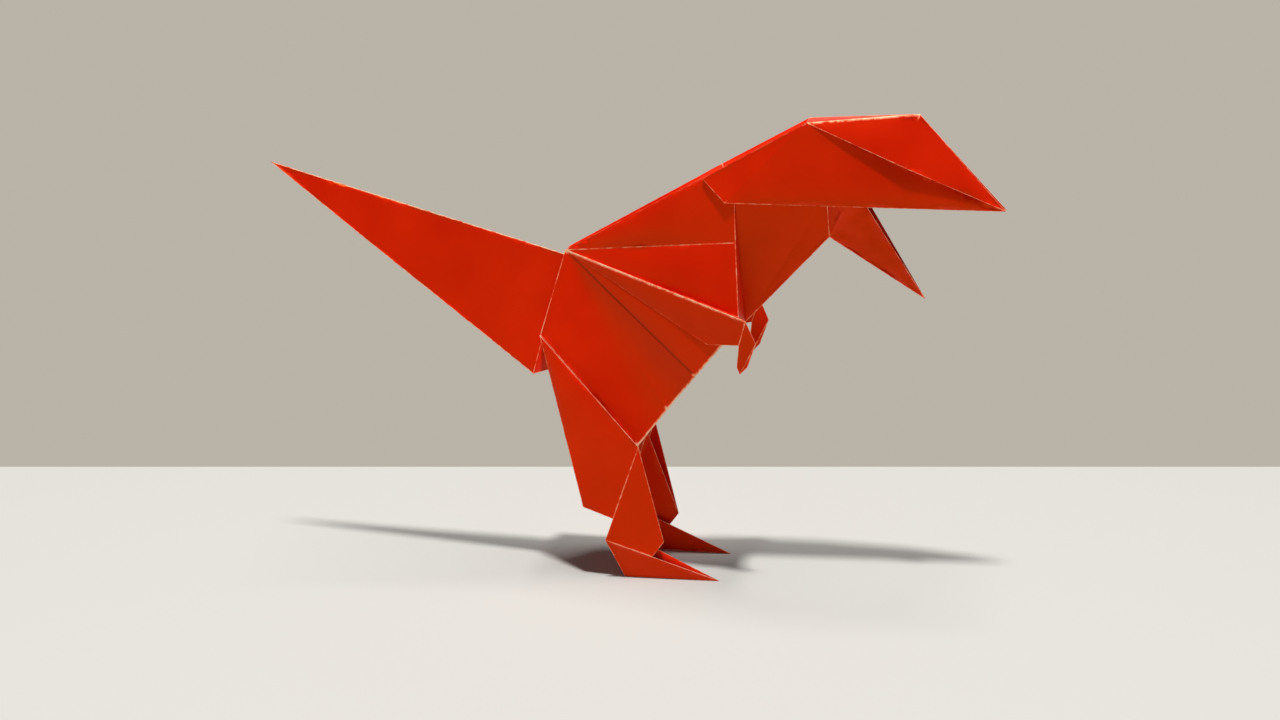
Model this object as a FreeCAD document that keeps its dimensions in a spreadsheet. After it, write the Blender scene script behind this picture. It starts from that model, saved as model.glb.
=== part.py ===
"""A standing paper dinosaur, folded from one square sheet.

The whole object is one sheet of paper, so it is one solid: flat panels of the paper's
thickness that run into each other along the folds. The near half (its right side, -Y) is laid
out corner by corner, mirrored in the XZ plane, and joined to its mirror image along the folds
that lie in that plane. +X is the nose, +Z is up, and every corner is given as a distance and an
angle from the corner before it, seen from the side, with its own distance from the middle plane.
"""

import FreeCAD, Part
import math
import os

# name, value, what it sets. Lengths are millimetres and angles are degrees above the X axis.
SIZES = [
    ("paper_thickness", 0.12, "one layer of the paper"),
    # The fan of folds that spreads from the top of the hips
    ("hip_half", 1.5, "fan corner from the middle plane"),
    ("back_angle", 29.5, "ridge of the back and of the head's rear"),
    ("back_length", 54.7, "fan corner to brow"),
    ("shoulder_angle", 5.6, "crease across the shoulder"),
    ("shoulder_length", 34.5, "fan corner to the chest's front edge"),
    ("shoulder_half", 4.7, "front end of the shoulder crease"),
    ("chest_angle", -17.2, "lower side of the shoulder panel"),
    ("chest_length", 37.05, "fan corner to the foot of the chest's front edge"),
    ("chest_half", 7.2, "foot of the chest's front edge"),
    ("arm_top_angle", -16.3, "upper fold of the arm"),
    ("arm_top_length", 38.8, "fan corner to wrist"),
    ("arm_low_angle", -29.2, "lower edge of the arm"),
    ("arm_low_length", 33.75, "fan corner to elbow"),
    ("wrist_half", 10.4, "wrist from the middle plane"),
    ("elbow_half", 7.9, "elbow from the middle plane"),
    ("wrist_depth", 5.24, "end of the arm below the wrist"),
    ("wrist_depth_angle", -105.7, "end of the arm below the wrist"),
    ("armpit_lap", 0.5, "upper edge of the panel below the arm, inside the arm's lower edge"),
    ("pleat_angle", -40.9, "crease below the arm"),
    ("pleat_length", 35.65, "fan corner to the belly's front end"),
    ("pleat_half", 6.8, "belly's front end"),
    ("belly_angle", -68.5, "soft bend down the flank"),
    ("belly_length", 41.5, "fan corner to the belly's rear end"),
    ("belly_half", 5.6, "belly's rear end"),
    ("flank_hollow", 1.9, "flank's middle, inside the line between its ends"),
    ("rump_angle", -104.5, "rear edge of the flank"),
    ("rump_length", 16.95, "fan corner to the rear edge's lower end"),
    ("rump_half", 6.0, "rear edge's lower end"),
    # The tail, a trough that is open below
    ("tail_angle", 164.5, "ridge of the tail"),
    ("tail_length", 64.3, "root to tip"),
    ("tail_root_inset", 1.4, "root ahead of the fan corner"),
    ("tail_root_drop", 1.7, "root below the fan corner"),
    ("tail_half", 3.5, "tail's lower corner"),
    ("tail_fold_angle", -103.3, "fold at the tail's lower corner"),
    ("tail_fold_length", 9.0, "rear edge's lower end to the tail's lower corner"),
    ("tail_return_share", 0.15, "share of that fold that the layer inside the tail reaches"),
    ("rump_seam_share", 0.2, "share of the thigh's back edge that the tail is joined to"),
    # The legs
    ("thigh_lap", 0.6, "outer layer of the thigh outside the inner one"),
    ("knee_angle", -45.9, "upper edge of the thigh"),
    ("knee_length", 29.25, "rear edge's lower end to knee"),
    ("knee_half", 9.8, "knee from the middle plane"),
    ("hock_angle", -74.9, "back edge of the thigh"),
    ("hock_length", 35.3, "rear edge's lower end to hock"),
    ("shin_angle", -108.6, "back edge of the shin"),
    ("shin_length", 20.55, "knee to heel"),
    ("shin_front_angle", -75.5, "front edge of the shin"),
    ("shin_front_length", 20.3, "knee to the front of the ankle"),
    ("ankle_half", 9.3, "front of the ankle"),
    ("ankle_step_angle", -125.8, "cut at the foot of the shin"),
    ("ankle_step", 3.8, "cut at the foot of the shin"),
    ("thigh_foot_share", 0.77, "share of the shin's back edge that the thigh reaches down"),
    ("heel_half", 10.6, "outer wall of the foot at the heel"),
    ("heel_inner_half", 7.8, "inner wall of the foot at the heel"),
    ("heel_angle", -65.1, "back edge of the foot"),
    ("heel_length", 8.83, "back edge of the foot"),
    ("tuck_share", 0.4, "share of the foot's back edge that the shin's tucked end reaches down"),
    ("sole_half", 8.9, "sole fold at the heel"),
    ("sole_length", 19.0, "sole fold"),
    ("toe_half", 8.4, "toe from the middle plane"),
    ("instep_length", 23.7, "upper edge of the foot's inner wall, back from the toe"),
    ("instep_angle", 155.5, "upper edge of the foot's inner wall"),
    # The hands
    ("hand_top_angle", -66.0, "upper edge of the hand"),
    ("hand_top_length", 4.9, "wrist to knuckle"),
    ("hand_length", 7.3, "knuckle to fingertip"),
    ("hand_angle", -116.0, "front edge of the hand"),
    ("finger_width", 1.6, "fingertip"),
    ("finger_angle", 112.0, "fingertip"),
    ("hand_lap", 5.2, "folded edge of the hand"),
    ("hand_lap_angle", -108.8, "folded edge of the hand"),
    ("hand_lap_half", 9.6, "folded edge of the hand, from the middle plane"),
    ("knuckle_half", 10.0, "knuckle from the middle plane"),
    # The neck, the throat and the lower jaw
    ("nape_depth", 2.4, "sunk fold of the back under its two ridges"),
    ("neck_lap", 35.0, "ridge of the back, as far as it runs under the head"),
    ("neck_edge_angle", 92.1, "front edge of the neck"),
    ("neck_edge_length", 8.6, "front edge of the neck above the shoulder crease"),
    ("neck_half", 4.6, "top of the neck's front edge"),
    ("breast_angle", -80.4, "breast, below the chest's front edge"),
    ("breast_length", 2.58, "breast, below the chest's front edge"),
    ("throat_angle", 47.4, "fold of the throat"),
    ("throat_length", 24.06, "fold of the throat"),
    ("jaw_root_angle", 93.6, "fold between throat and jaw"),
    ("jaw_root_length", 8.0, "fold between throat and jaw"),
    ("jaw_root_half", 1.5, "top of the fold between throat and jaw"),
    ("jaw_angle", -31.5, "lower fold of the jaw"),
    ("jaw_length", 22.2, "lower fold of the jaw"),
    ("jaw_top_angle", 122.4, "upper edge of the jaw"),
    ("jaw_top_length", 23.3, "upper edge of the jaw"),
    # The head, which is wrapped round the neck
    ("head_start", 31.8, "fan corner to the head's rear corner, along the back"),
    ("head_half", 4.25, "head's rear corner"),
    ("head_edge_angle", -44.9, "rear edge of the head"),
    ("head_edge_length", 6.35, "rear edge of the head"),
    ("cheek_half", 5.15, "rear end of the cheek's lower edge"),
    ("cheek_angle", -0.67, "lower edge of the cheek"),
    ("cheek_length", 53.8, "lower edge of the cheek"),
    ("nose_half", 0.9, "nose from the middle plane"),
    ("brow_half", 3.2, "brow from the middle plane"),
    ("snout_angle", 4.74, "ridge of the snout"),
    ("snout_length", 21.42, "ridge of the snout"),
    ("snout_bulge", 1.4, "middle of the snout's lower edge, outside the line between its ends"),
    ("cheek_tuck_share", 0.3, "share of the snout's ridge that the cheek reaches under it"),
]

document = FreeCAD.newDocument("paper_dinosaur")
sheet = document.addObject("Spreadsheet::Sheet", "sizes")
for row, (alias, value, note) in enumerate(SIZES, start=1):
    sheet.set("A%d" % row, alias)
    sheet.set("B%d" % row, str(value))
    sheet.set("C%d" % row, note)
    sheet.setAlias("B%d" % row, alias)
document.recompute()
size = {alias: getattr(sheet, alias) for alias, _, _ in SIZES}


def corner(start, length, angle, half):
    """The corner at a length and an angle from another, seen from the side, on the near half."""
    turn = math.radians(angle)
    return FreeCAD.Vector(start.x + length * math.cos(turn), -half, start.z + length * math.sin(turn))


def between(first, second, share):
    """A point on the straight line between two corners."""
    return first + (second - first) * share


def in_plane(point, a, b, c):
    """The point with its distance from the middle plane changed to lie in the plane of a, b and c."""
    normal = (b - a).cross(c - a)
    lift = (point - a).dot(normal) / normal.y
    return FreeCAD.Vector(point.x, point.y - lift, point.z)


def fan_corners():
    """The corners of the body's side, all reached from the fan corner at the top of the hips."""
    hip = FreeCAD.Vector(0, -size["hip_half"], 0)
    shoulder = corner(hip, size["shoulder_length"], size["shoulder_angle"], size["shoulder_half"])
    neck = corner(shoulder, size["neck_edge_length"], size["neck_edge_angle"], size["neck_half"])
    nape = corner(hip, size["neck_lap"], size["back_angle"], 0)
    wrist = corner(hip, size["arm_top_length"], size["arm_top_angle"], size["wrist_half"])
    elbow = corner(hip, size["arm_low_length"], size["arm_low_angle"], size["elbow_half"])
    wrist_foot = corner(wrist, size["wrist_depth"], size["wrist_depth_angle"], 0)
    wrist_foot = in_plane(wrist_foot, hip, wrist, elbow)
    belly_front = corner(hip, size["pleat_length"], size["pleat_angle"], size["pleat_half"])
    belly_rear = corner(hip, size["belly_length"], size["belly_angle"], size["belly_half"])
    armpit = between(elbow, wrist_foot, 0.5) + FreeCAD.Vector(0, size["armpit_lap"], 0)
    belly = between(belly_front, belly_rear, 0.5) + FreeCAD.Vector(0, size["flank_hollow"], 0)
    return {
        "hip": hip,
        "shoulder": shoulder,
        "neck": neck,
        "nape": in_plane(nape, hip, shoulder, neck),
        "chest": corner(hip, size["chest_length"], size["chest_angle"], size["chest_half"]),
        "wrist": wrist,
        "elbow": elbow,
        "wrist_foot": wrist_foot,
        "armpit": armpit,
        "belly_front": belly_front,
        "belly": belly,
        "belly_rear": belly_rear,
        "rump": corner(hip, size["rump_length"], size["rump_angle"], size["rump_half"]),
    }


def tail_corners(at):
    """The corners of the tail, from its root inside the hips to its tip."""
    hip = at["hip"]
    root = FreeCAD.Vector(hip.x + size["tail_root_inset"], 0, hip.z - size["tail_root_drop"])
    tip = corner(root, size["tail_length"], size["tail_angle"], 0)
    low = corner(at["rump"], size["tail_fold_length"], size["tail_fold_angle"], size["tail_half"])
    fold = between(at["rump"], low, size["tail_return_share"])
    return {"tail_root": root, "tail_tip": tip, "tail_low": low, "tail_fold": in_plane(fold, root, tip, low)}


def leg_corners(at):
    """The corners of a leg, which has an outer and an inner layer, and of its foot."""
    rump = at["rump"]
    knee = corner(rump, size["knee_length"], size["knee_angle"], size["knee_half"])
    heel = corner(knee, size["shin_length"], size["shin_angle"], size["heel_half"])
    heel_in = FreeCAD.Vector(heel.x, -size["heel_inner_half"], heel.z)
    thigh_back = rump - FreeCAD.Vector(0, size["thigh_lap"], 0)
    hock = corner(rump, size["hock_length"], size["hock_angle"], 0)
    hock = in_plane(hock, thigh_back, knee, heel)
    ankle = corner(knee, size["shin_front_length"], size["shin_front_angle"], size["ankle_half"])
    step = corner(ankle, size["ankle_step"], size["ankle_step_angle"], 0)
    sole = corner(heel, size["heel_length"], size["heel_angle"], size["sole_half"])
    toe = corner(sole, size["sole_length"], 0, size["toe_half"])
    instep = corner(toe, size["instep_length"], size["instep_angle"], 0)
    return {
        "knee": knee,
        "heel": heel,
        "heel_in": heel_in,
        "thigh_back": thigh_back,
        "hock": hock,
        "thigh_foot": between(knee, heel, size["thigh_foot_share"]),
        "thigh_foot_in": between(at["belly_rear"], heel_in, size["thigh_foot_share"]),
        "ankle": ankle,
        "step": in_plane(step, knee, heel, ankle),
        "step_in": in_plane(step, at["belly_rear"], heel_in, ankle),
        "sole": sole,
        "toe": toe,
        "instep": in_plane(instep, heel_in, toe, sole),
        "tuck": between(heel, sole, size["tuck_share"]),
        "tuck_in": between(heel_in, sole, size["tuck_share"]),
        "rump_seam": between(rump, hock, size["rump_seam_share"]),
    }


def hand_corners(at):
    """The corners of a hand, which hangs from the wrist's front edge."""
    wrist = at["wrist"]
    knuckle = corner(wrist, size["hand_top_length"], size["hand_top_angle"], size["knuckle_half"])
    finger = corner(knuckle, size["hand_length"], size["hand_angle"], 0)
    finger_back = corner(finger, size["finger_width"], size["finger_angle"], 0)
    lap = corner(knuckle, size["hand_lap"], size["hand_lap_angle"], size["hand_lap_half"])
    return {
        "knuckle": knuckle,
        "finger": in_plane(finger, wrist, at["wrist_foot"], knuckle),
        "finger_back": in_plane(finger_back, wrist, at["wrist_foot"], knuckle),
        "hand_lap": lap,
    }


def throat_corners(at):
    """The corners of the throat and the lower jaw, which meet in the middle plane."""
    breast = corner(at["chest"], size["breast_length"], size["breast_angle"], 0)
    jaw_hinge = corner(breast, size["throat_length"], size["throat_angle"], 0)
    jaw_root = corner(jaw_hinge, size["jaw_root_length"], size["jaw_root_angle"], size["jaw_root_half"])
    jaw_tip = corner(jaw_hinge, size["jaw_length"], size["jaw_angle"], 0)
    jaw_top = corner(jaw_tip, size["jaw_top_length"], size["jaw_top_angle"], 0)
    return {
        "breast": breast,
        "jaw_hinge": jaw_hinge,
        "jaw_root": jaw_root,
        "jaw_tip": jaw_tip,
        "jaw_top": in_plane(jaw_top, jaw_hinge, jaw_tip, jaw_root),
    }


def head_corners(at):
    """The corners of the head, and of the sunk fold that the back and the head share."""
    hip = at["hip"]
    head_rear = corner(hip, size["head_start"], size["back_angle"], size["head_half"])
    brow = corner(hip, size["back_length"], size["back_angle"], size["brow_half"])
    cheek = corner(head_rear, size["head_edge_length"], size["head_edge_angle"], size["cheek_half"])
    nose = corner(cheek, size["cheek_length"], size["cheek_angle"], size["nose_half"])
    snout = corner(brow, size["snout_length"], size["snout_angle"], 0)
    jowl = between(brow, nose, 0.5) - FreeCAD.Vector(0, size["snout_bulge"], 0)
    under = between(brow, snout, size["cheek_tuck_share"]) - FreeCAD.Vector(0, 0, size["nape_depth"])
    valley_end = corner(brow, size["nape_depth"], size["back_angle"] - 90, 0)
    root = at["tail_root"]
    return {
        "head_rear": head_rear,
        "brow": brow,
        "cheek": cheek,
        "nose": nose,
        "snout": snout,
        "jowl": jowl,
        "under_snout": in_plane(under, brow, nose, cheek),
        "crown": FreeCAD.Vector(brow.x, 0, brow.z + size["paper_thickness"]),
        "valley_end": valley_end,
        "valley_head": between(root, valley_end, size["head_start"] / size["back_length"]),
        "valley_neck": between(root, valley_end, size["neck_lap"] / size["back_length"]),
    }


# Each panel of the near half and the corners it runs through
PANELS = {
    "arm_side": ["hip", "elbow", "wrist_foot", "wrist"],
    "arm_shelf": ["hip", "wrist", "chest"],
    "upper_back": ["hip", "shoulder", "neck", "nape"],
    "shoulder_side": ["hip", "chest", "shoulder"],
    "pleat_side": ["hip", "belly_front", "armpit"],
    "flank_front": ["hip", "belly", "belly_front"],
    "flank_middle": ["hip", "belly_rear", "belly"],
    "flank_rear": ["hip", "rump", "belly_rear"],
    "back_valley_rear": ["hip", "nape", "tail_root"],
    "back_valley_front": ["nape", "valley_neck", "tail_root"],
    "tail_side": ["tail_tip", "tail_low", "tail_fold", "tail_root"],
    "tail_return_upper": ["hip", "tail_root", "tail_fold"],
    "tail_return_lower": ["hip", "tail_fold", "rump"],
    "tail_gusset": ["tail_fold", "tail_low", "rump_seam"],
    "rump_gusset": ["tail_fold", "rump_seam", "rump"],
    "thigh_outer": ["thigh_back", "hock", "thigh_foot", "knee"],
    "thigh_back_fold": ["thigh_back", "rump", "hock"],
    "thigh_inner_upper": ["rump", "belly_rear", "hock"],
    "thigh_inner_lower": ["belly_rear", "thigh_foot_in", "hock"],
    "shin_outer": ["knee", "heel", "step", "ankle"],
    "shin_inner": ["belly_rear", "ankle", "step_in", "heel_in"],
    "shin_tuck_outer": ["heel", "tuck", "step"],
    "shin_tuck_inner": ["heel_in", "step_in", "tuck_in"],
    "foot_outer": ["heel", "sole", "toe"],
    "foot_inner": ["heel_in", "instep", "toe", "sole"],
    "hand_outer": ["wrist", "wrist_foot", "finger_back", "finger", "knuckle"],
    "hand_folded_edge": ["knuckle", "finger", "hand_lap"],
    "neck_front_upper": ["neck", "shoulder", "breast"],
    "neck_front_lower": ["shoulder", "chest", "breast"],
    "throat_rear": ["breast", "jaw_root", "neck"],
    "throat_front": ["breast", "jaw_hinge", "jaw_root"],
    "jaw_side": ["jaw_hinge", "jaw_tip", "jaw_top", "jaw_root"],
    "head_valley_rear": ["head_rear", "valley_end", "valley_head"],
    "head_valley_front": ["head_rear", "brow", "valley_end"],
    "cheek_rear": ["head_rear", "cheek", "brow"],
    "cheek_side": ["brow", "cheek", "nose", "under_snout"],
    "crown_top": ["crown", "brow", "snout"],
    "snout_rear": ["brow", "jowl", "snout"],
    "snout_front": ["snout", "jowl", "nose"],
}


# Two edges whose outward sides point apart by more than this cosine get a square end, not a mitre
SHARPEST_MITRE = -0.2


def grown_outline(points, normal, margin):
    """The outline moved outwards by margin, so that panels run into each other at their folds."""
    outline = []
    for before, point, after in zip(points[-1:] + points[:-1], points, points[1:] + points[:1]):
        arriving = (point - before).normalize()
        leaving = (after - point).normalize()
        outward_in = arriving.cross(normal)
        outward_out = leaving.cross(normal)
        if outward_in.dot(outward_out) > SHARPEST_MITRE:
            mitre = (outward_in + outward_out) * (margin / (1 + outward_in.dot(outward_out)))
            outline.append(point + mitre)
        else:
            outline.append(point + (outward_in + arriving) * margin)
            outline.append(point + (outward_out - leaving) * margin)
    return outline


def add_panel(name, points):
    """One flat panel: its outline as a face, thickened evenly to both sides."""
    normal = (points[1] - points[0]).cross(points[2] - points[0]).normalize()
    outline = grown_outline(points, normal, size["paper_thickness"] / 2)
    face = document.addObject("Part::Feature", name + "_outline")
    face.Shape = Part.Face(Part.makePolygon(outline + outline[:1]))
    panel = document.addObject("Part::Extrusion", name)
    panel.Base = face
    panel.DirMode = "Custom"
    panel.Dir = normal
    panel.setExpression("LengthFwd", "sizes.paper_thickness")
    panel.Symmetric = True
    panel.Solid = True
    return panel


def fused(shapes):
    """The shapes joined one after another into one."""
    whole = shapes[0]
    for shape in shapes[1:]:
        whole = whole.fuse(shape)
    return whole


at = fan_corners()
for more_corners in (tail_corners, leg_corners, hand_corners, throat_corners, head_corners):
    at.update(more_corners(at))

near_panels = [add_panel(name, [at[key] for key in corners]) for name, corners in PANELS.items()]
document.recompute()
near_half = fused([panel.Shape for panel in near_panels])
middle, across = FreeCAD.Vector(0, 0, 0), FreeCAD.Vector(0, 1, 0)
both_halves = near_half.fuse(near_half.mirror(middle, across))

folded_sheet = document.addObject("Part::Feature", "folded_sheet")
folded_sheet.Label = "folded_sheet"
folded_sheet.Shape = both_halves
# The origin is on the surface it stands on, under the middle of its length.
box = both_halves.BoundBox
foot_of_middle = FreeCAD.Vector(-box.Center.x, -box.Center.y, -box.ZMin)
folded_sheet.Placement = FreeCAD.Placement(foot_of_middle, FreeCAD.Rotation())
document.recompute()

for item in document.Objects:
    if "Invalid" in item.State or "Error" in item.State:
        raise RuntimeError("%s has failed: %s" % (item.Name, item.State))
shape = folded_sheet.Shape
if shape.isNull() or not shape.isValid() or len(shape.Solids) != 1:
    raise RuntimeError("the folded sheet is not one valid solid: %d" % len(shape.Solids))

os.makedirs("parts", exist_ok=True)
shape.exportStep("parts/%s.step" % folded_sheet.Label)
print("folded_sheet: volume %.2f mm3, box %s" % (shape.Volume, shape.BoundBox))
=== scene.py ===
import math

import bmesh
import bpy
from mathutils import Matrix, Vector, noise


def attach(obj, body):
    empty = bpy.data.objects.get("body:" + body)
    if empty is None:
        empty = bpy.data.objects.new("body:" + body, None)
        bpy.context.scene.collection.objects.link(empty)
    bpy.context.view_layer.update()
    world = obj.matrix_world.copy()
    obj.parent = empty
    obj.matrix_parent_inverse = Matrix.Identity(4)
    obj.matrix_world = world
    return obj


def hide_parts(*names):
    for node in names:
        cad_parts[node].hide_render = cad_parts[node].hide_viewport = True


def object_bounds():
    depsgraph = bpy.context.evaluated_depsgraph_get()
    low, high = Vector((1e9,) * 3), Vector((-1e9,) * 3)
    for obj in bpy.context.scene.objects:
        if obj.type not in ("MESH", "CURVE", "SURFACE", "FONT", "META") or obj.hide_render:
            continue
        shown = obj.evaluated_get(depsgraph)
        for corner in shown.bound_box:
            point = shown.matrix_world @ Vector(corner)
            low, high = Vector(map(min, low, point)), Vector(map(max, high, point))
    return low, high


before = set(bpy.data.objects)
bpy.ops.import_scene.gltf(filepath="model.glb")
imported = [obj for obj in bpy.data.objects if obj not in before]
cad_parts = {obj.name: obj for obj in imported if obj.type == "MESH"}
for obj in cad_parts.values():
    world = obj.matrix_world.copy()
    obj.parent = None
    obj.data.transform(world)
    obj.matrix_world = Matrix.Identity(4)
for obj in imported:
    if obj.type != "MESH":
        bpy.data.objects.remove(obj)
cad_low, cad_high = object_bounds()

# ---------------------------------------------------------------- The camera
# It stands half a metre off the figure's right side, a little ahead of its middle, and looks down
# and back at it through a long lens. Lengths are millimetres and angles are degrees.
MM = 0.001
EYE_AHEAD, EYE_ASIDE, EYE_ABOVE = 85.8, 475.2, 170.1
LOOKS_DOWN, LOOKS_BACK = 14.79, 10.0
SENSOR_WIDTH, LENS = 36, 70.3

camera = bpy.data.objects.new("camera", bpy.data.cameras.new("camera"))
camera.data.sensor_width = SENSOR_WIDTH
camera.data.lens = LENS
middle = (cad_low + cad_high) / 2
camera.location = (
    middle.x + EYE_AHEAD * MM,
    middle.y - EYE_ASIDE * MM,
    cad_low.z + EYE_ABOVE * MM,
)
camera.rotation_euler = (math.radians(90 - LOOKS_DOWN), 0, math.radians(LOOKS_BACK))
bpy.context.scene.collection.objects.link(camera)
bpy.context.scene.camera = camera

# ---------------------------------------------------------------- The body
# The figure is one square of coated paper, pleated into a fan that spreads from the top of the
# hips. The back folds in between the two sides, and the arms and flanks are folded down from it.
HIP_AHEAD, HIP_ABOVE, HIP_HALF = 60.65, 64.97, 1.5
TAIL_ROOT_AHEAD, TAIL_ROOT_BELOW = 1.4, 1.7
BACK_LENGTH, BACK_ANGLE = 54.7, 29.5
NECK_LENGTH, NAPE_SINK, NAPE_DEPTH = 35.0, 0.25, 2.4
ARMPIT_LAP, FLANK_HOLLOW = 0.5, 1.9

# The corners of the figure's right side, and the panels of paper between them
at = {}
panels = {}
INWARDS = Vector((0, 1, 0))


def reach(start, length, angle, half=0):
    """A corner, by length and angle from another, seen from the side, and half off the middle."""
    turn = math.radians(angle)
    return Vector((start.x + length * math.cos(turn), -half, start.z + length * math.sin(turn)))


def set_in_plane(point, a, b, c):
    """The point with its distance from the middle plane changed to lie in the plane of a, b, c."""
    normal = (b - a).cross(c - a)
    return Vector((point.x, point.y - (point - a).dot(normal) / normal.y, point.z))


hip = at["hip"] = Vector((cad_low.x / MM + HIP_AHEAD, -HIP_HALF, cad_low.z / MM + HIP_ABOVE))
at["tail_root"] = Vector((hip.x + TAIL_ROOT_AHEAD, 0, hip.z - TAIL_ROOT_BELOW))
at["shoulder"] = reach(hip, length=34.5, angle=5.6, half=4.7)
at["neck"] = reach(at["shoulder"], length=8.6, angle=92.1, half=4.6)
at["nape"] = set_in_plane(reach(hip, NECK_LENGTH, BACK_ANGLE), hip, at["shoulder"], at["neck"])
at["nape"] += NAPE_SINK * INWARDS
at["chest"] = reach(hip, length=37.05, angle=-17.2, half=7.2)
at["wrist"] = reach(hip, length=38.8, angle=-16.3, half=10.4)
at["elbow"] = reach(hip, length=33.75, angle=-29.2, half=7.9)
at["wrist_foot"] = reach(at["wrist"], length=5.24, angle=-105.7)
at["wrist_foot"] = set_in_plane(at["wrist_foot"], hip, at["wrist"], at["elbow"])
at["armpit"] = (at["elbow"] + at["wrist_foot"]) / 2 + ARMPIT_LAP * INWARDS
at["belly_front"] = reach(hip, length=35.65, angle=-40.9, half=6.8)
at["belly_rear"] = reach(hip, length=41.5, angle=-68.5, half=5.6)
at["belly"] = (at["belly_front"] + at["belly_rear"]) / 2 + FLANK_HOLLOW * INWARDS
at["rump"] = reach(hip, length=16.95, angle=-104.5, half=6.0)
brow = at["brow"] = reach(hip, BACK_LENGTH, BACK_ANGLE, half=3.2)
valley_end = at["valley_end"] = reach(brow, NAPE_DEPTH, BACK_ANGLE - 90)
at["valley_neck"] = at["tail_root"].lerp(valley_end, NECK_LENGTH / BACK_LENGTH)

panels["body"] = [
    # A panel's corners, and how far its middle bulges outwards
    (("hip", "shoulder", "neck", "nape"), 0.5),
    (("hip", "chest", "shoulder"), 0.35),
    (("hip", "wrist", "chest"), 0.0),
    (("hip", "elbow", "wrist_foot", "wrist"), 0.15),
    (("hip", "belly_front", "armpit"), 0.2),
    (("hip", "belly", "belly_front"), -0.2),
    (("hip", "belly_rear", "belly"), -0.2),
    (("hip", "rump", "belly_rear"), 0.0),
    (("hip", "nape", "tail_root"), 0.1),
    (("nape", "valley_neck", "tail_root"), 0.0),
]

# ---------------------------------------------------------------- The tail
# A long narrow trough, folded along its ridge and open below. Its front end is tucked up into
# the body between the hips.
TAIL_RETURN_SHARE = 0.15

at["tail_tip"] = reach(at["tail_root"], length=64.3, angle=164.5)
at["tail_low"] = reach(at["rump"], length=9.0, angle=-103.3, half=3.5)
tail_fold = at["rump"].lerp(at["tail_low"], TAIL_RETURN_SHARE)
at["tail_fold"] = set_in_plane(tail_fold, at["tail_root"], at["tail_tip"], at["tail_low"])

panels["body"] += [
    (("tail_tip", "tail_low", "tail_fold", "tail_root"), 0.5),
    (("hip", "tail_root", "tail_fold"), 0.1),
    (("hip", "tail_fold", "rump"), 0.0),
]

# ---------------------------------------------------------------- The legs
# Each leg is a flap folded down and back up, so it has an outer and an inner layer. The shin is
# folded forward out of the thigh, and the foot is a small trough folded forward out of the shin.
HEEL_INNER_HALF, THIGH_LAP = 7.8, 0.6
# How far down the shin the thigh reaches, how far down the foot the shin's end is tucked, and
# how far down the thigh the tail is joined to it
THIGH_FOOT_SHARE, TUCK_SHARE, RUMP_SEAM_SHARE = 0.77, 0.4, 0.2

knee = at["knee"] = reach(at["rump"], length=29.25, angle=-45.9, half=9.8)
heel = at["heel"] = reach(knee, length=20.55, angle=-108.6, half=10.6)
heel_in = at["heel_in"] = Vector((heel.x, -HEEL_INNER_HALF, heel.z))
at["thigh_back"] = at["rump"] - THIGH_LAP * INWARDS
hock = reach(at["rump"], length=35.3, angle=-74.9)
hock = at["hock"] = set_in_plane(hock, at["thigh_back"], knee, heel)
ankle = at["ankle"] = reach(knee, length=20.3, angle=-75.5, half=9.3)
step = reach(ankle, length=3.8, angle=-125.8)
at["step"] = set_in_plane(step, knee, heel, ankle)
at["step_in"] = set_in_plane(step, at["belly_rear"], heel_in, ankle)
at["thigh_foot"] = knee.lerp(heel, THIGH_FOOT_SHARE)
at["thigh_foot_in"] = at["belly_rear"].lerp(heel_in, THIGH_FOOT_SHARE)
sole = at["sole"] = reach(heel, length=8.83, angle=-65.1, half=8.9)
toe = at["toe"] = reach(sole, length=19.0, angle=0, half=8.4)
instep = reach(toe, length=23.7, angle=155.5)
at["instep"] = set_in_plane(instep, heel_in, toe, sole)
at["tuck"] = heel.lerp(sole, TUCK_SHARE)
at["tuck_in"] = heel_in.lerp(sole, TUCK_SHARE)
at["rump_seam"] = at["rump"].lerp(hock, RUMP_SEAM_SHARE)

panels["body"] += [
    (("tail_fold", "tail_low", "rump_seam"), 0.0),
    (("tail_fold", "rump_seam", "rump"), 0.0),
    (("rump", "belly_rear", "hock"), 0.0),
    (("belly_rear", "thigh_foot_in", "hock"), 0.0),
    (("thigh_back", "rump", "hock"), 0.0),
    (("thigh_back", "hock", "thigh_foot", "knee"), 0.35),
]
panels["shin"] = [
    (("knee", "heel", "step", "ankle"), 0.2),
    (("heel", "tuck", "step"), 0.0),
]
panels["inner_shin"] = [
    (("belly_rear", "ankle", "step_in", "heel_in"), 0.1),
    (("heel_in", "step_in", "tuck_in"), 0.0),
]
panels["foot"] = [
    (("heel", "sole", "toe"), 0.15),
    (("heel_in", "instep", "toe", "sole"), 0.1),
]

# ---------------------------------------------------------------- The hands
# A hand is the narrow end of the arm's pleat, folded down in front of the wrist. Its front edge
# is folded back as a narrow lap.
knuckle = at["knuckle"] = reach(at["wrist"], length=4.9, angle=-66.0, half=10.0)
finger = reach(knuckle, length=7.3, angle=-116.0)
finger_back = reach(finger, length=1.6, angle=112.0)
at["finger"] = set_in_plane(finger, at["wrist"], at["wrist_foot"], knuckle)
at["finger_back"] = set_in_plane(finger_back, at["wrist"], at["wrist_foot"], knuckle)
at["hand_lap"] = reach(knuckle, length=5.2, angle=-108.8, half=9.6)

panels["body"] += [
    (("wrist", "wrist_foot", "finger_back", "finger", "knuckle"), 0.1),
    (("knuckle", "finger", "hand_lap"), 0.0),
]

# ---------------------------------------------------------------- The throat and the lower jaw
# The front of the neck folds in to the middle plane. Its end is folded forward as the lower jaw,
# a pointed trough that is open above.
JAW_BEND_SHARE, JAW_BEND = 0.6, 1.3

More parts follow.
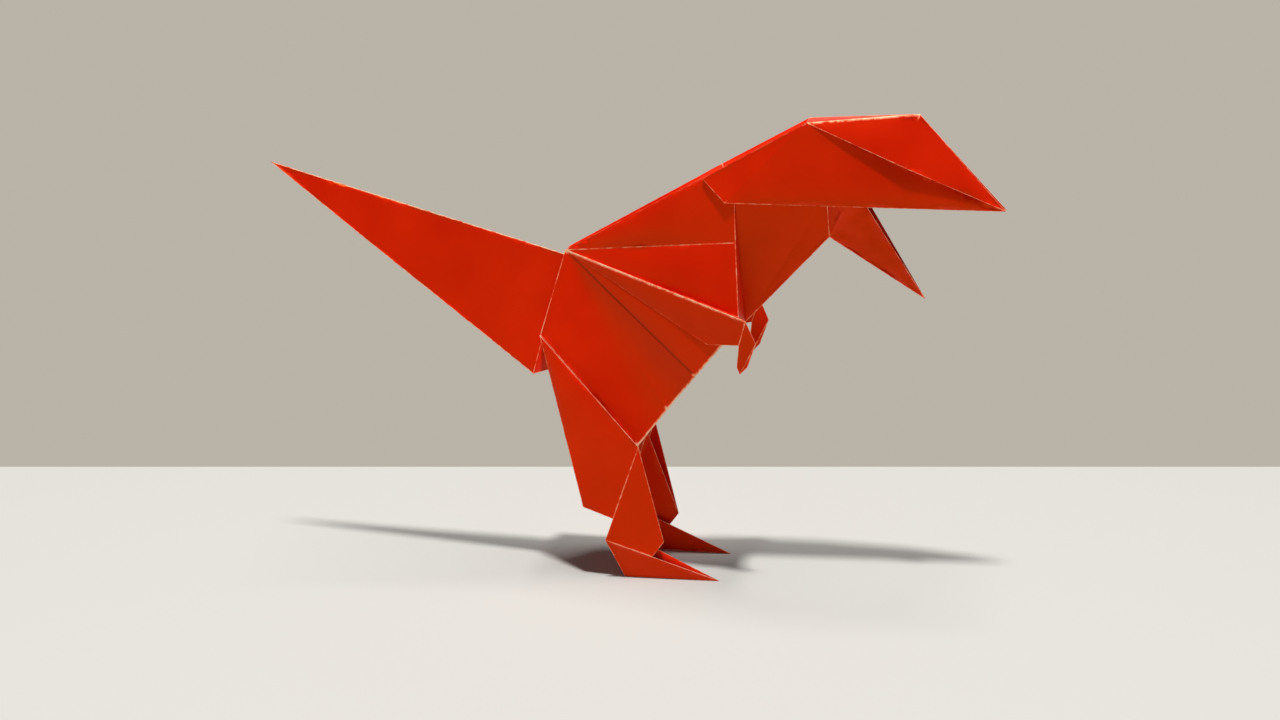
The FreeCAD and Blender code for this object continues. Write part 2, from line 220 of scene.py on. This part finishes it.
breast = at["breast"] = reach(at["chest"], length=2.58, angle=-80.4)
jaw_hinge = at["jaw_hinge"] = reach(breast, length=24.06, angle=47.4)
at["jaw_root"] = reach(jaw_hinge, length=8.0, angle=93.6, half=1.5)
at["jaw_tip"] = reach(jaw_hinge, length=22.2, angle=-31.5)
jaw_top = reach(at["jaw_tip"], length=23.3, angle=122.4)
at["jaw_top"] = set_in_plane(jaw_top, jaw_hinge, at["jaw_tip"], at["jaw_root"])
at["jaw_bend"] = at["jaw_root"].lerp(at["jaw_top"], JAW_BEND_SHARE) - JAW_BEND * INWARDS

panels["body"] += [
    (("neck", "shoulder", "breast"), 0.0),
    (("shoulder", "chest", "breast"), 0.0),
    (("breast", "jaw_root", "neck"), 0.25),
    (("breast", "jaw_hinge", "jaw_root"), 0.1),
    (("jaw_hinge", "jaw_bend", "jaw_root"), 0.0),
    (("jaw_hinge", "jaw_tip", "jaw_top", "jaw_bend"), 0.15),
]

# ---------------------------------------------------------------- The head
# The end of the neck is folded forward and wrapped round it, so the cheeks stand off the neck's
# sides. A second layer, folded down from the crown, makes the snout and overlaps the cheeks.
HEAD_START, CROWN_RISE = 31.8, 0.12
CHEEK_TUCK_SHARE, CHEEK_TUCK_DROP, SNOUT_BULGE = 0.3, 2.4, 1.4

head_rear = at["head_rear"] = reach(hip, HEAD_START, BACK_ANGLE, half=4.25)
at["cheek"] = reach(head_rear, length=6.35, angle=-44.9, half=5.15)
at["nose"] = reach(at["cheek"], length=53.8, angle=-0.67, half=0.9)
snout = at["snout"] = reach(brow, length=21.42, angle=4.74)
under_snout = brow.lerp(snout, CHEEK_TUCK_SHARE) - Vector((0, 0, CHEEK_TUCK_DROP))
at["under_snout"] = set_in_plane(under_snout, brow, at["nose"], at["cheek"])
at["jowl"] = brow.lerp(at["nose"], 0.5) - SNOUT_BULGE * INWARDS
at["crown"] = Vector((brow.x, 0, brow.z + CROWN_RISE))
at["valley_head"] = at["tail_root"].lerp(valley_end, HEAD_START / BACK_LENGTH)

panels["head"] = [
    (("head_rear", "valley_end", "valley_head"), 0.0),
    (("head_rear", "brow", "valley_end"), 0.0),
    (("head_rear", "cheek", "brow"), 0.0),
    (("brow", "cheek", "nose", "under_snout"), 0.35),
]
panels["snout"] = [
    (("crown", "brow", "snout"), 0.0),
    (("brow", "jowl", "snout"), 0.2),
    (("snout", "jowl", "nose"), 0.2),
]

# ---------------------------------------------------------------- The folded sheet
# One mesh carries every panel. The paper is 0.12 mm thick, and its folds and cut edges are drawn
# pale
# for a fifth of a millimetre: worn coating, with painted highlight on the brightest. Panels spring
# a little between folds.
THICKNESS = 0.12
PALE_WIDTH, BROAD_WIDTH = 0.2, 0.5
# How pale a fold or edge is drawn, and how far from it: worn coating, and on the strongest lines,
# such as the snout's ridge and the arm's top fold, painted highlight. A soft bend isn't drawn pale
# at all.
EVEN_WEAR_AND_HIGHLIGHT = (0.6, PALE_WIDTH)
WEAR_AND_HIGHLIGHT = {
    ("hip", "chest"): (1.0, PALE_WIDTH),
    ("hip", "wrist"): (1.0, BROAD_WIDTH),
    ("hip", "belly_front"): (0.0, PALE_WIDTH),
    ("hip", "elbow"): (0.3, PALE_WIDTH),
    ("hip", "nape"): (0.25, PALE_WIDTH),
    ("belly_front", "belly"): (1.3, BROAD_WIDTH),
    ("belly", "belly_rear"): (1.3, BROAD_WIDTH),
    ("belly_front", "armpit"): (1.3, BROAD_WIDTH),
    ("hip", "belly"): (0.0, PALE_WIDTH),
    ("hip", "belly_rear"): (0.0, PALE_WIDTH),
    ("brow", "snout"): (1.1, BROAD_WIDTH),
    ("brow", "cheek"): (0.0, PALE_WIDTH),
    ("brow", "head_rear"): (0.25, PALE_WIDTH),
    ("snout", "jowl"): (0.0, PALE_WIDTH),
    ("tail_fold", "rump_seam"): (0.0, PALE_WIDTH),
    ("nape", "tail_root"): (0.0, PALE_WIDTH),
    ("head_rear", "valley_end"): (0.0, PALE_WIDTH),
    ("tail_root", "tail_tip"): (1.2, PALE_WIDTH),
    ("tail_tip", "tail_low"): (1.1, PALE_WIDTH),
    ("neck", "breast"): (0.0, PALE_WIDTH),
    ("shoulder", "breast"): (0.0, PALE_WIDTH),
    ("chest", "breast"): (0.0, PALE_WIDTH),
    ("breast", "jaw_root"): (0.0, PALE_WIDTH),
    ("jaw_hinge", "jaw_bend"): (0.1, PALE_WIDTH),
}

# Each panel gets a narrow strip along its sides, which carries the pale lines of wear and painted
# highlight.
sheet = bmesh.new()
panel_number = sheet.faces.layers.int.new("panel")
rim_mark = sheet.faces.layers.int.new("rim")
outlines = []
for layer in panels.values():
    corners = {}
    for names, bulge in layer:
        for name in names:
            if name not in corners:
                corners[name] = sheet.verts.new(at[name])
        face = sheet.faces.new([corners[name] for name in names])
        face[panel_number] = len(outlines)
        outlines.append((names, bulge))


def sides_of(names):
    """Each side of a panel: its two corners, how pale it is drawn for wear and painted highlight,
    and how wide.
    """
    sides = []
    for first, second in zip(names, names[1:] + names[:1]):
        wear_and_highlight_level, width = WEAR_AND_HIGHLIGHT.get((first, second), WEAR_AND_HIGHLIGHT.get((second, first), EVEN_WEAR_AND_HIGHLIGHT))
        sides.append((at[first], at[second], wear_and_highlight_level, width))
    return sides


middles = sheet.faces[:]
sheet.normal_update()
bmesh.ops.inset_individual(sheet, faces=middles, thickness=PALE_WIDTH, use_even_offset=True)
broad = [
    face for face in middles
    if any(width > PALE_WIDTH for _, _, _, width in sides_of(outlines[face[panel_number]][0]))
]
sheet.normal_update()
bmesh.ops.inset_individual(
    sheet, faces=broad, thickness=BROAD_WIDTH - PALE_WIDTH, use_even_offset=True
)
for face in sheet.faces:
    face[rim_mark] = 1
for face in middles:
    face[rim_mark] = 0

# The panels are split finely enough to bow, and smoothing evens out their triangles.
LONGEST_EDGE, SPLITS, SMOOTHINGS = 1.7, 7, 30
bmesh.ops.triangulate(sheet, faces=sheet.faces[:])
for _ in range(SPLITS):
    long_edges = [edge for edge in sheet.edges if edge.calc_length() > LONGEST_EDGE]
    bmesh.ops.subdivide_edges(sheet, edges=long_edges, cuts=1)
    bmesh.ops.triangulate(sheet, faces=[face for face in sheet.faces if len(face.verts) > 3])
inner = [v for v in sheet.verts if not any(face[rim_mark] for face in v.link_faces)]
for _ in range(SMOOTHINGS):
    bmesh.ops.smooth_vert(
        sheet, verts=inner, factor=0.5, use_axis_x=True, use_axis_y=True, use_axis_z=True
    )


def edge_distance(point, start, end):
    """How far a point is from the nearest point of the straight edge between two corners."""
    run = end - start
    share = max(0.0, min(1.0, (point - start).dot(run) / run.length_squared))
    return (point - start - run * share).length


def vertices_of(numbers):
    """The vertices of the panels that have one of these numbers."""
    return {v for face in sheet.faces if face[panel_number] in numbers for v in face.verts}


# Edges that no other panel holds straight, so they bow with the panel's middle
BOWED = [
    ("belly_front", "belly"),
    ("belly", "belly_rear"),
    ("tail_tip", "tail_low"),
    ("jaw_tip", "jaw_top"),
]
# A crease that was folded and opened again is a shallow groove, drawn darker along it with painted
# shade for its thin shadow line. It starts a little way out from the hip, where the folds meet.
GROOVES = [("hip", "belly_front")]
GROOVE_DEPTH, GROOVE_WIDTH, GROOVE_START, CREASE_SHADE_STRENGTH = 0.08, 0.4, 2, 0.7
LEAST_FULLNESS = 0.0001

wear_and_highlight = sheet.verts.layers.float.new("wear_and_highlight")
painted_crease_shade = sheet.verts.layers.float.new("painted_crease_shade")
moves = {}
for number, (names, bulge) in enumerate(outlines):
    sides = sides_of(names)
    pairs = zip(names, names[1:] + names[:1])
    held = [pair not in BOWED and pair[::-1] not in BOWED for pair in pairs]
    normal = (at[names[1]] - at[names[0]]).cross(at[names[2]] - at[names[0]]).normalized()
    if normal.y > 0:
        normal = -normal
    fullness = {}
    for vertex in vertices_of([number]):
        reaches = [edge_distance(vertex.co, start, end) for start, end, _, _ in sides]
        for reached, (_, _, wear_and_highlight_level, width) in zip(reaches, sides):
            vertex[wear_and_highlight] = max(vertex[wear_and_highlight], wear_and_highlight_level * (1 - reached / width))
        fullness[vertex] = math.prod(r for r, is_fold in zip(reaches, held) if is_fold)
    fullest = max(fullness.values())
    for vertex, full in fullness.items():
        if bulge and full > LEAST_FULLNESS:
            moves[vertex] = normal * (bulge * full / fullest)
    for first, second in GROOVES:
        if first in names and second in names:
            for vertex in fullness:
                near = 1 - edge_distance(vertex.co, at[first], at[second]) / GROOVE_WIDTH
                if near > 0 and (vertex.co - at[first]).length > GROOVE_START:
                    vertex[painted_crease_shade] = CREASE_SHADE_STRENGTH * near
                    moves[vertex] = Vector((0, GROOVE_DEPTH * near, 0))

# The flank bends softly where it has no fold, over a width that grows away from the hip. Each
# bend has a panel before it and one after it, told by their outer corners.
BENDS = {
    ("hip", "belly"): ("belly_front", "belly_rear"),
    ("hip", "belly_rear"): ("belly", "rump"),
}
BEND_SPREAD, BEND_START = 0.12, 0.1


def lean(*names):
    """How far the plane of three corners moves sideways for each millimetre ahead and up."""
    first, second, third = (at[name] for name in names)
    normal = (second - first).cross(third - first)
    return Vector((-normal.x / normal.y, 0, -normal.z / normal.y))


for (first, second), (before, after) in BENDS.items():
    run = Vector((at[second].x - at[first].x, 0, at[second].z - at[first].z)).normalized()
    across = Vector((-run.z, 0, run.x))
    if (at[after] - at[first]).dot(across) < 0:
        across = -across
    turn = (lean(first, second, after) - lean(first, second, before)).dot(across)
    beside = [n for n, (names, _) in enumerate(outlines) if first in names and second in names]
    for vertex in vertices_of(beside):
        width = BEND_SPREAD * max(BEND_START, (vertex.co - at[first]).dot(run))
        off = abs((vertex.co - at[first]).dot(across))
        if off < width:
            rounding = Vector((0, turn * (width - off) ** 2 / (4 * width), 0))
            moves[vertex] = moves.get(vertex, Vector()) + rounding
for vertex, move in moves.items():
    vertex.co += move

# The jaw's side is crumpled, ahead of its hinge and below the head.
CRUMPLE, CRUMPLE_LENGTH, CRUMPLE_START = 0.45, 2.6, 1
UNMARKED = 0.01
for vertex in sheet.verts:
    ahead = vertex.co.x - at["jaw_hinge"].x
    below = at["nose"].z - vertex.co.z
    if ahead > CRUMPLE_START and below > CRUMPLE_START and vertex[wear_and_highlight] < UNMARKED:
        vertex.co.y -= CRUMPLE * noise.noise(vertex.co / CRUMPLE_LENGTH)

# The left side is the right side's mirror image, joined to it where they meet.
SAME_PLACE = 0.001
right_side = sheet.verts[:] + sheet.edges[:] + sheet.faces[:]
bmesh.ops.mirror(sheet, geom=right_side, axis="Y", merge_dist=SAME_PLACE)
bmesh.ops.dissolve_degenerate(sheet, dist=SAME_PLACE, edges=sheet.edges[:])
bmesh.ops.recalc_face_normals(sheet, faces=sheet.faces[:])

# The paper isn't quite flat between its folds.
SPRING, SPRING_LENGTH = 0.05, 9.0
for vertex in sheet.verts:
    if vertex[wear_and_highlight] < UNMARKED and not vertex.is_boundary:
        vertex.co += vertex.normal * SPRING * noise.noise(vertex.co / SPRING_LENGTH)

# Shading breaks at cut edges and at the sharpest folds.
SHARP_TURN = math.radians(80)
for edge in sheet.edges:
    edge.smooth = not (edge.is_boundary or edge.calc_face_angle(0) > SHARP_TURN)
for face in sheet.faces:
    face.smooth = True
bmesh.ops.scale(sheet, vec=(MM, MM, MM), verts=sheet.verts[:])

paper_mesh = bpy.data.meshes.new("folded_paper")
sheet.to_mesh(paper_mesh)
sheet.free()
paper = bpy.data.objects.new("folded_paper", paper_mesh)
bpy.context.scene.collection.objects.link(paper)
# The cut edges take the second material, the core.
solid = paper.modifiers.new("thickness", "SOLIDIFY")
solid.thickness = THICKNESS * MM
solid.offset = 0
solid.use_even_offset = False
solid.material_offset_rim = 1


def linear(hex_colour):
    """The linear RGBA of an sRGB hex colour."""
    shares = [int(hex_colour[i:i + 2], 16) / 255 for i in (0, 2, 4)]
    return [s / 12.92 if s <= 0.04045 else ((s + 0.055) / 1.055) ** 2.4 for s in shares] + [1]


def add_node(tree, kind, settings=None, links=None):
    """A node with its settings and socket values, and links to its inputs from other sockets."""
    node = tree.nodes.new(kind)
    for name, value in (settings or {}).items():
        if isinstance(name, int) or name in node.inputs:
            node.inputs[name].default_value = value
        else:
            setattr(node, name, value)
    for name, socket in (links or {}).items():
        tree.links.new(socket, node.inputs[name])
    return node


def new_material(name):
    """A material with no shader yet, its node tree and its output node."""
    material = bpy.data.materials.new(name)
    material.use_nodes = True
    material.node_tree.nodes.remove(material.node_tree.nodes["Principled BSDF"])
    return material, material.node_tree, material.node_tree.nodes["Material Output"]


# Coated craft paper, printed red on both sides and calendered. The coating gives a satin gloss
# over a faint fibre texture, and it cracks pale where it is folded; the pale lines also carry
# painted highlight, cream where they are strongest. Real fibres are a few hundredths of a
# millimetre wide, so they are drawn half a millimetre apart, coarse enough to show.
PER_MM = 1000
CLOUD, FLAKE, FIBRE = 14, 1.6, 0.5
FIBRE_RELIEF = 0.00003
# A Mix node's two colour inputs and its colour output
FIRST, SECOND, MIXED = 6, 7, 2

coated, tree, output = new_material("coated_craft_paper")
place = add_node(tree, "ShaderNodeTexCoord").outputs["Object"]
wear_and_highlight_level = add_node(tree, "ShaderNodeAttribute", {"attribute_name": "wear_and_highlight"}).outputs["Fac"]
cloud = add_node(
    tree, "ShaderNodeTexNoise", {"Scale": PER_MM / CLOUD, "Detail": 2.0}, {"Vector": place}
).outputs["Fac"]
fibre = add_node(
    tree, "ShaderNodeTexNoise", {"Scale": PER_MM / FIBRE, "Detail": 3.0}, {"Vector": place}
).outputs["Fac"]
flake = add_node(
    tree, "ShaderNodeTexNoise", {"Scale": PER_MM / FLAKE, "Detail": 4.0, "Roughness": 0.7},
    {"Vector": place},
).outputs["Fac"]
red = add_node(tree, "ShaderNodeValToRGB", links={"Fac": cloud})
red.color_ramp.elements[0].position = 0.3
red.color_ramp.elements[0].color = linear("D01A03")
red.color_ramp.elements[1].position = 0.7
red.color_ramp.elements[1].color = linear("E02004")
# Painted shade: the crease by the hip is mixed towards a dark red, for the thin shadow line in it.
crease_shade_factor = add_node(tree, "ShaderNodeAttribute", {"attribute_name": "painted_crease_shade"}).outputs["Fac"]
red_and_crease_shade = add_node(
    tree, "ShaderNodeMix", {"data_type": "RGBA", SECOND: linear("7C1002")},
    {"Factor": crease_shade_factor, FIRST: red.outputs["Color"]},
).outputs[MIXED]
lifted = add_node(
    tree, "ShaderNodeMapRange",
    {"From Min": 0.35, "From Max": 0.62, "To Min": 0.25, "To Max": 1.35}, {"Value": flake},
).outputs["Result"]
pale_share = add_node(
    tree, "ShaderNodeMath", {"operation": "MULTIPLY"}, {0: wear_and_highlight_level, 1: lifted}
).outputs["Value"]
# Pale lines run from orange-pink worn coating to cream painted highlight where they are strongest.
pale = add_node(tree, "ShaderNodeValToRGB", links={"Fac": pale_share})
pale.color_ramp.elements[0].position = 0.35
pale.color_ramp.elements[0].color = linear("FF6A46")
pale.color_ramp.elements[1].position = 0.95
pale.color_ramp.elements[1].color = linear("FFD0A8")
paled = add_node(
    tree, "ShaderNodeMapRange", {"From Min": 0.1, "From Max": 0.4, "To Max": 0.95},
    {"Value": pale_share},
).outputs["Result"]
colour = add_node(
    tree, "ShaderNodeMix", {"data_type": "RGBA"},
    {"Factor": paled, FIRST: red_and_crease_shade, SECOND: pale.outputs["Color"]},
).outputs[MIXED]
gloss = add_node(
    tree, "ShaderNodeMapRange", {"To Min": 0.3, "To Max": 0.42}, {"Value": cloud}
).outputs["Result"]
relief = add_node(
    tree, "ShaderNodeBump", {"Strength": 0.25, "Distance": FIBRE_RELIEF}, {"Height": fibre}
).outputs["Normal"]
shader = add_node(
    tree, "ShaderNodeBsdfPrincipled",
    {"IOR": 1.55, "Specular Tint": linear("FFA01C")},
    {"Base Color": colour, "Roughness": gloss, "Normal": relief},
)
tree.links.new(shader.outputs["BSDF"], output.inputs["Surface"])
paper_mesh.materials.append(coated)

# The cut edge shows the paper's uncoated core, pinkish where the dye has run in.
core, tree, output = new_material("paper_core")
shader = add_node(
    tree, "ShaderNodeBsdfPrincipled", {"Base Color": linear("EDA08A"), "Roughness": 0.8}
)
tree.links.new(shader.outputs["BSDF"], output.inputs["Surface"])
paper_mesh.materials.append(core)

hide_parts("folded_sheet")
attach(paper, "root")

# ---------------------------------------------------------------- The table and the wall
# A white sheet lies on the table and ends at a plain beige wall, 65 mm behind the figure. The
# wall is seen from its front only, and it neither lights nor shades the figure.
HALF_BREADTH = 6000
WALL_AHEAD, WALL_ASIDE = -9.4, 64.8


def flat_square(name, turn):
    """A large flat square, turned about the X axis by an angle in degrees."""
    square = bmesh.new()
    bmesh.ops.create_grid(square, x_segments=1, y_segments=1, size=HALF_BREADTH * MM)
    upright = Matrix.Rotation(math.radians(turn), 3, "X")
    bmesh.ops.rotate(square, verts=square.verts[:], matrix=upright)
    mesh = bpy.data.meshes.new(name)
    square.to_mesh(mesh)
    square.free()
    flat = bpy.data.objects.new(name, mesh)
    bpy.context.scene.collection.objects.link(flat)
    return flat


def looked_at(tree):
    """One where the surface itself or its mirror image is looked at, and nought for its light."""
    rays = add_node(tree, "ShaderNodeLightPath").outputs
    direct = add_node(
        tree, "ShaderNodeMath", {"operation": "ADD"},
        {0: rays["Is Camera Ray"], 1: rays["Is Glossy Ray"]},
    ).outputs["Value"]
    return add_node(
        tree, "ShaderNodeMath", {"operation": "ADD", "use_clamp": True},
        {0: direct, 1: rays["Is Transmission Ray"]},
    ).outputs["Value"]


# Uncoated white card, dead matt. It looks a shade darker than the light it throws back.
floor = flat_square("floor", turn=0)
floor.location.z = cad_low.z
white, tree, output = new_material("white_card")
card = add_node(
    tree, "ShaderNodeMix",
    {"data_type": "RGBA", FIRST: linear("D4D1CA"), SECOND: linear("BEBCB6")},
    {"Factor": looked_at(tree)},
).outputs[MIXED]
shader = add_node(tree, "ShaderNodeBsdfPrincipled", {"Roughness": 0.9}, {"Base Color": card})
tree.links.new(shader.outputs["BSDF"], output.inputs["Surface"])
floor.data.materials.append(white)

# Matt wall paint, evenly bright
wall = flat_square("wall", turn=90)
wall.location = (WALL_AHEAD * MM, WALL_ASIDE * MM, cad_low.z + HALF_BREADTH * MM)
wall.rotation_euler.z = math.radians(LOOKS_BACK)
beige, tree, output = new_material("painted_wall")
bright = add_node(tree, "ShaderNodeEmission", {"Color": linear("BAB3A8"), "Strength": 1.0})
clear = add_node(tree, "ShaderNodeBsdfTransparent")
behind = add_node(tree, "ShaderNodeNewGeometry").outputs["Backfacing"]
front = add_node(
    tree, "ShaderNodeMath", {"operation": "SUBTRACT", "use_clamp": True},
    {0: looked_at(tree), 1: behind},
).outputs["Value"]
shader = add_node(
    tree, "ShaderNodeMixShader",
    links={"Fac": front, 1: clear.outputs["BSDF"], 2: bright.outputs["Emission"]},
)
tree.links.new(shader.outputs["Shader"], output.inputs["Surface"])
wall.data.materials.append(beige)

# ---------------------------------------------------------------- The light
# A round lamp hangs 1.6 m above the table, a little off the figure's right side. A long one runs
# from it over the figure and past the wall, so the shadow fades to the right. The room is evenly
# bright. Lengths are metres and energies are watts.
LAMP_HEIGHT, LAMP_AHEAD = 1.6, 0.022
ROOM_COLOUR, ROOM_STRENGTH = (0.95, 0.97, 1.0, 1), 0.08

for name, shape, width, length, energy, aside in (
    ("lamp", "DISK", 0.12, 0.12, 25, -0.27),
    ("long_lamp", "RECTANGLE", 0.12, 0.8, 14, 0.15),
):
    lamp = bpy.data.objects.new(name, bpy.data.lights.new(name, "AREA"))
    lamp.data.shape = shape
    lamp.data.size, lamp.data.size_y = width, length
    lamp.data.energy = energy
    lamp.location = (LAMP_AHEAD, aside, LAMP_HEIGHT)
    bpy.context.scene.collection.objects.link(lamp)

room = bpy.data.worlds.new("room")
room.use_nodes = True
background = room.node_tree.nodes["Background"]
background.inputs["Color"].default_value = ROOM_COLOUR
background.inputs["Strength"].default_value = ROOM_STRENGTH
bpy.context.scene.world = room
bpy.context.scene.view_settings.view_transform = "Standard"
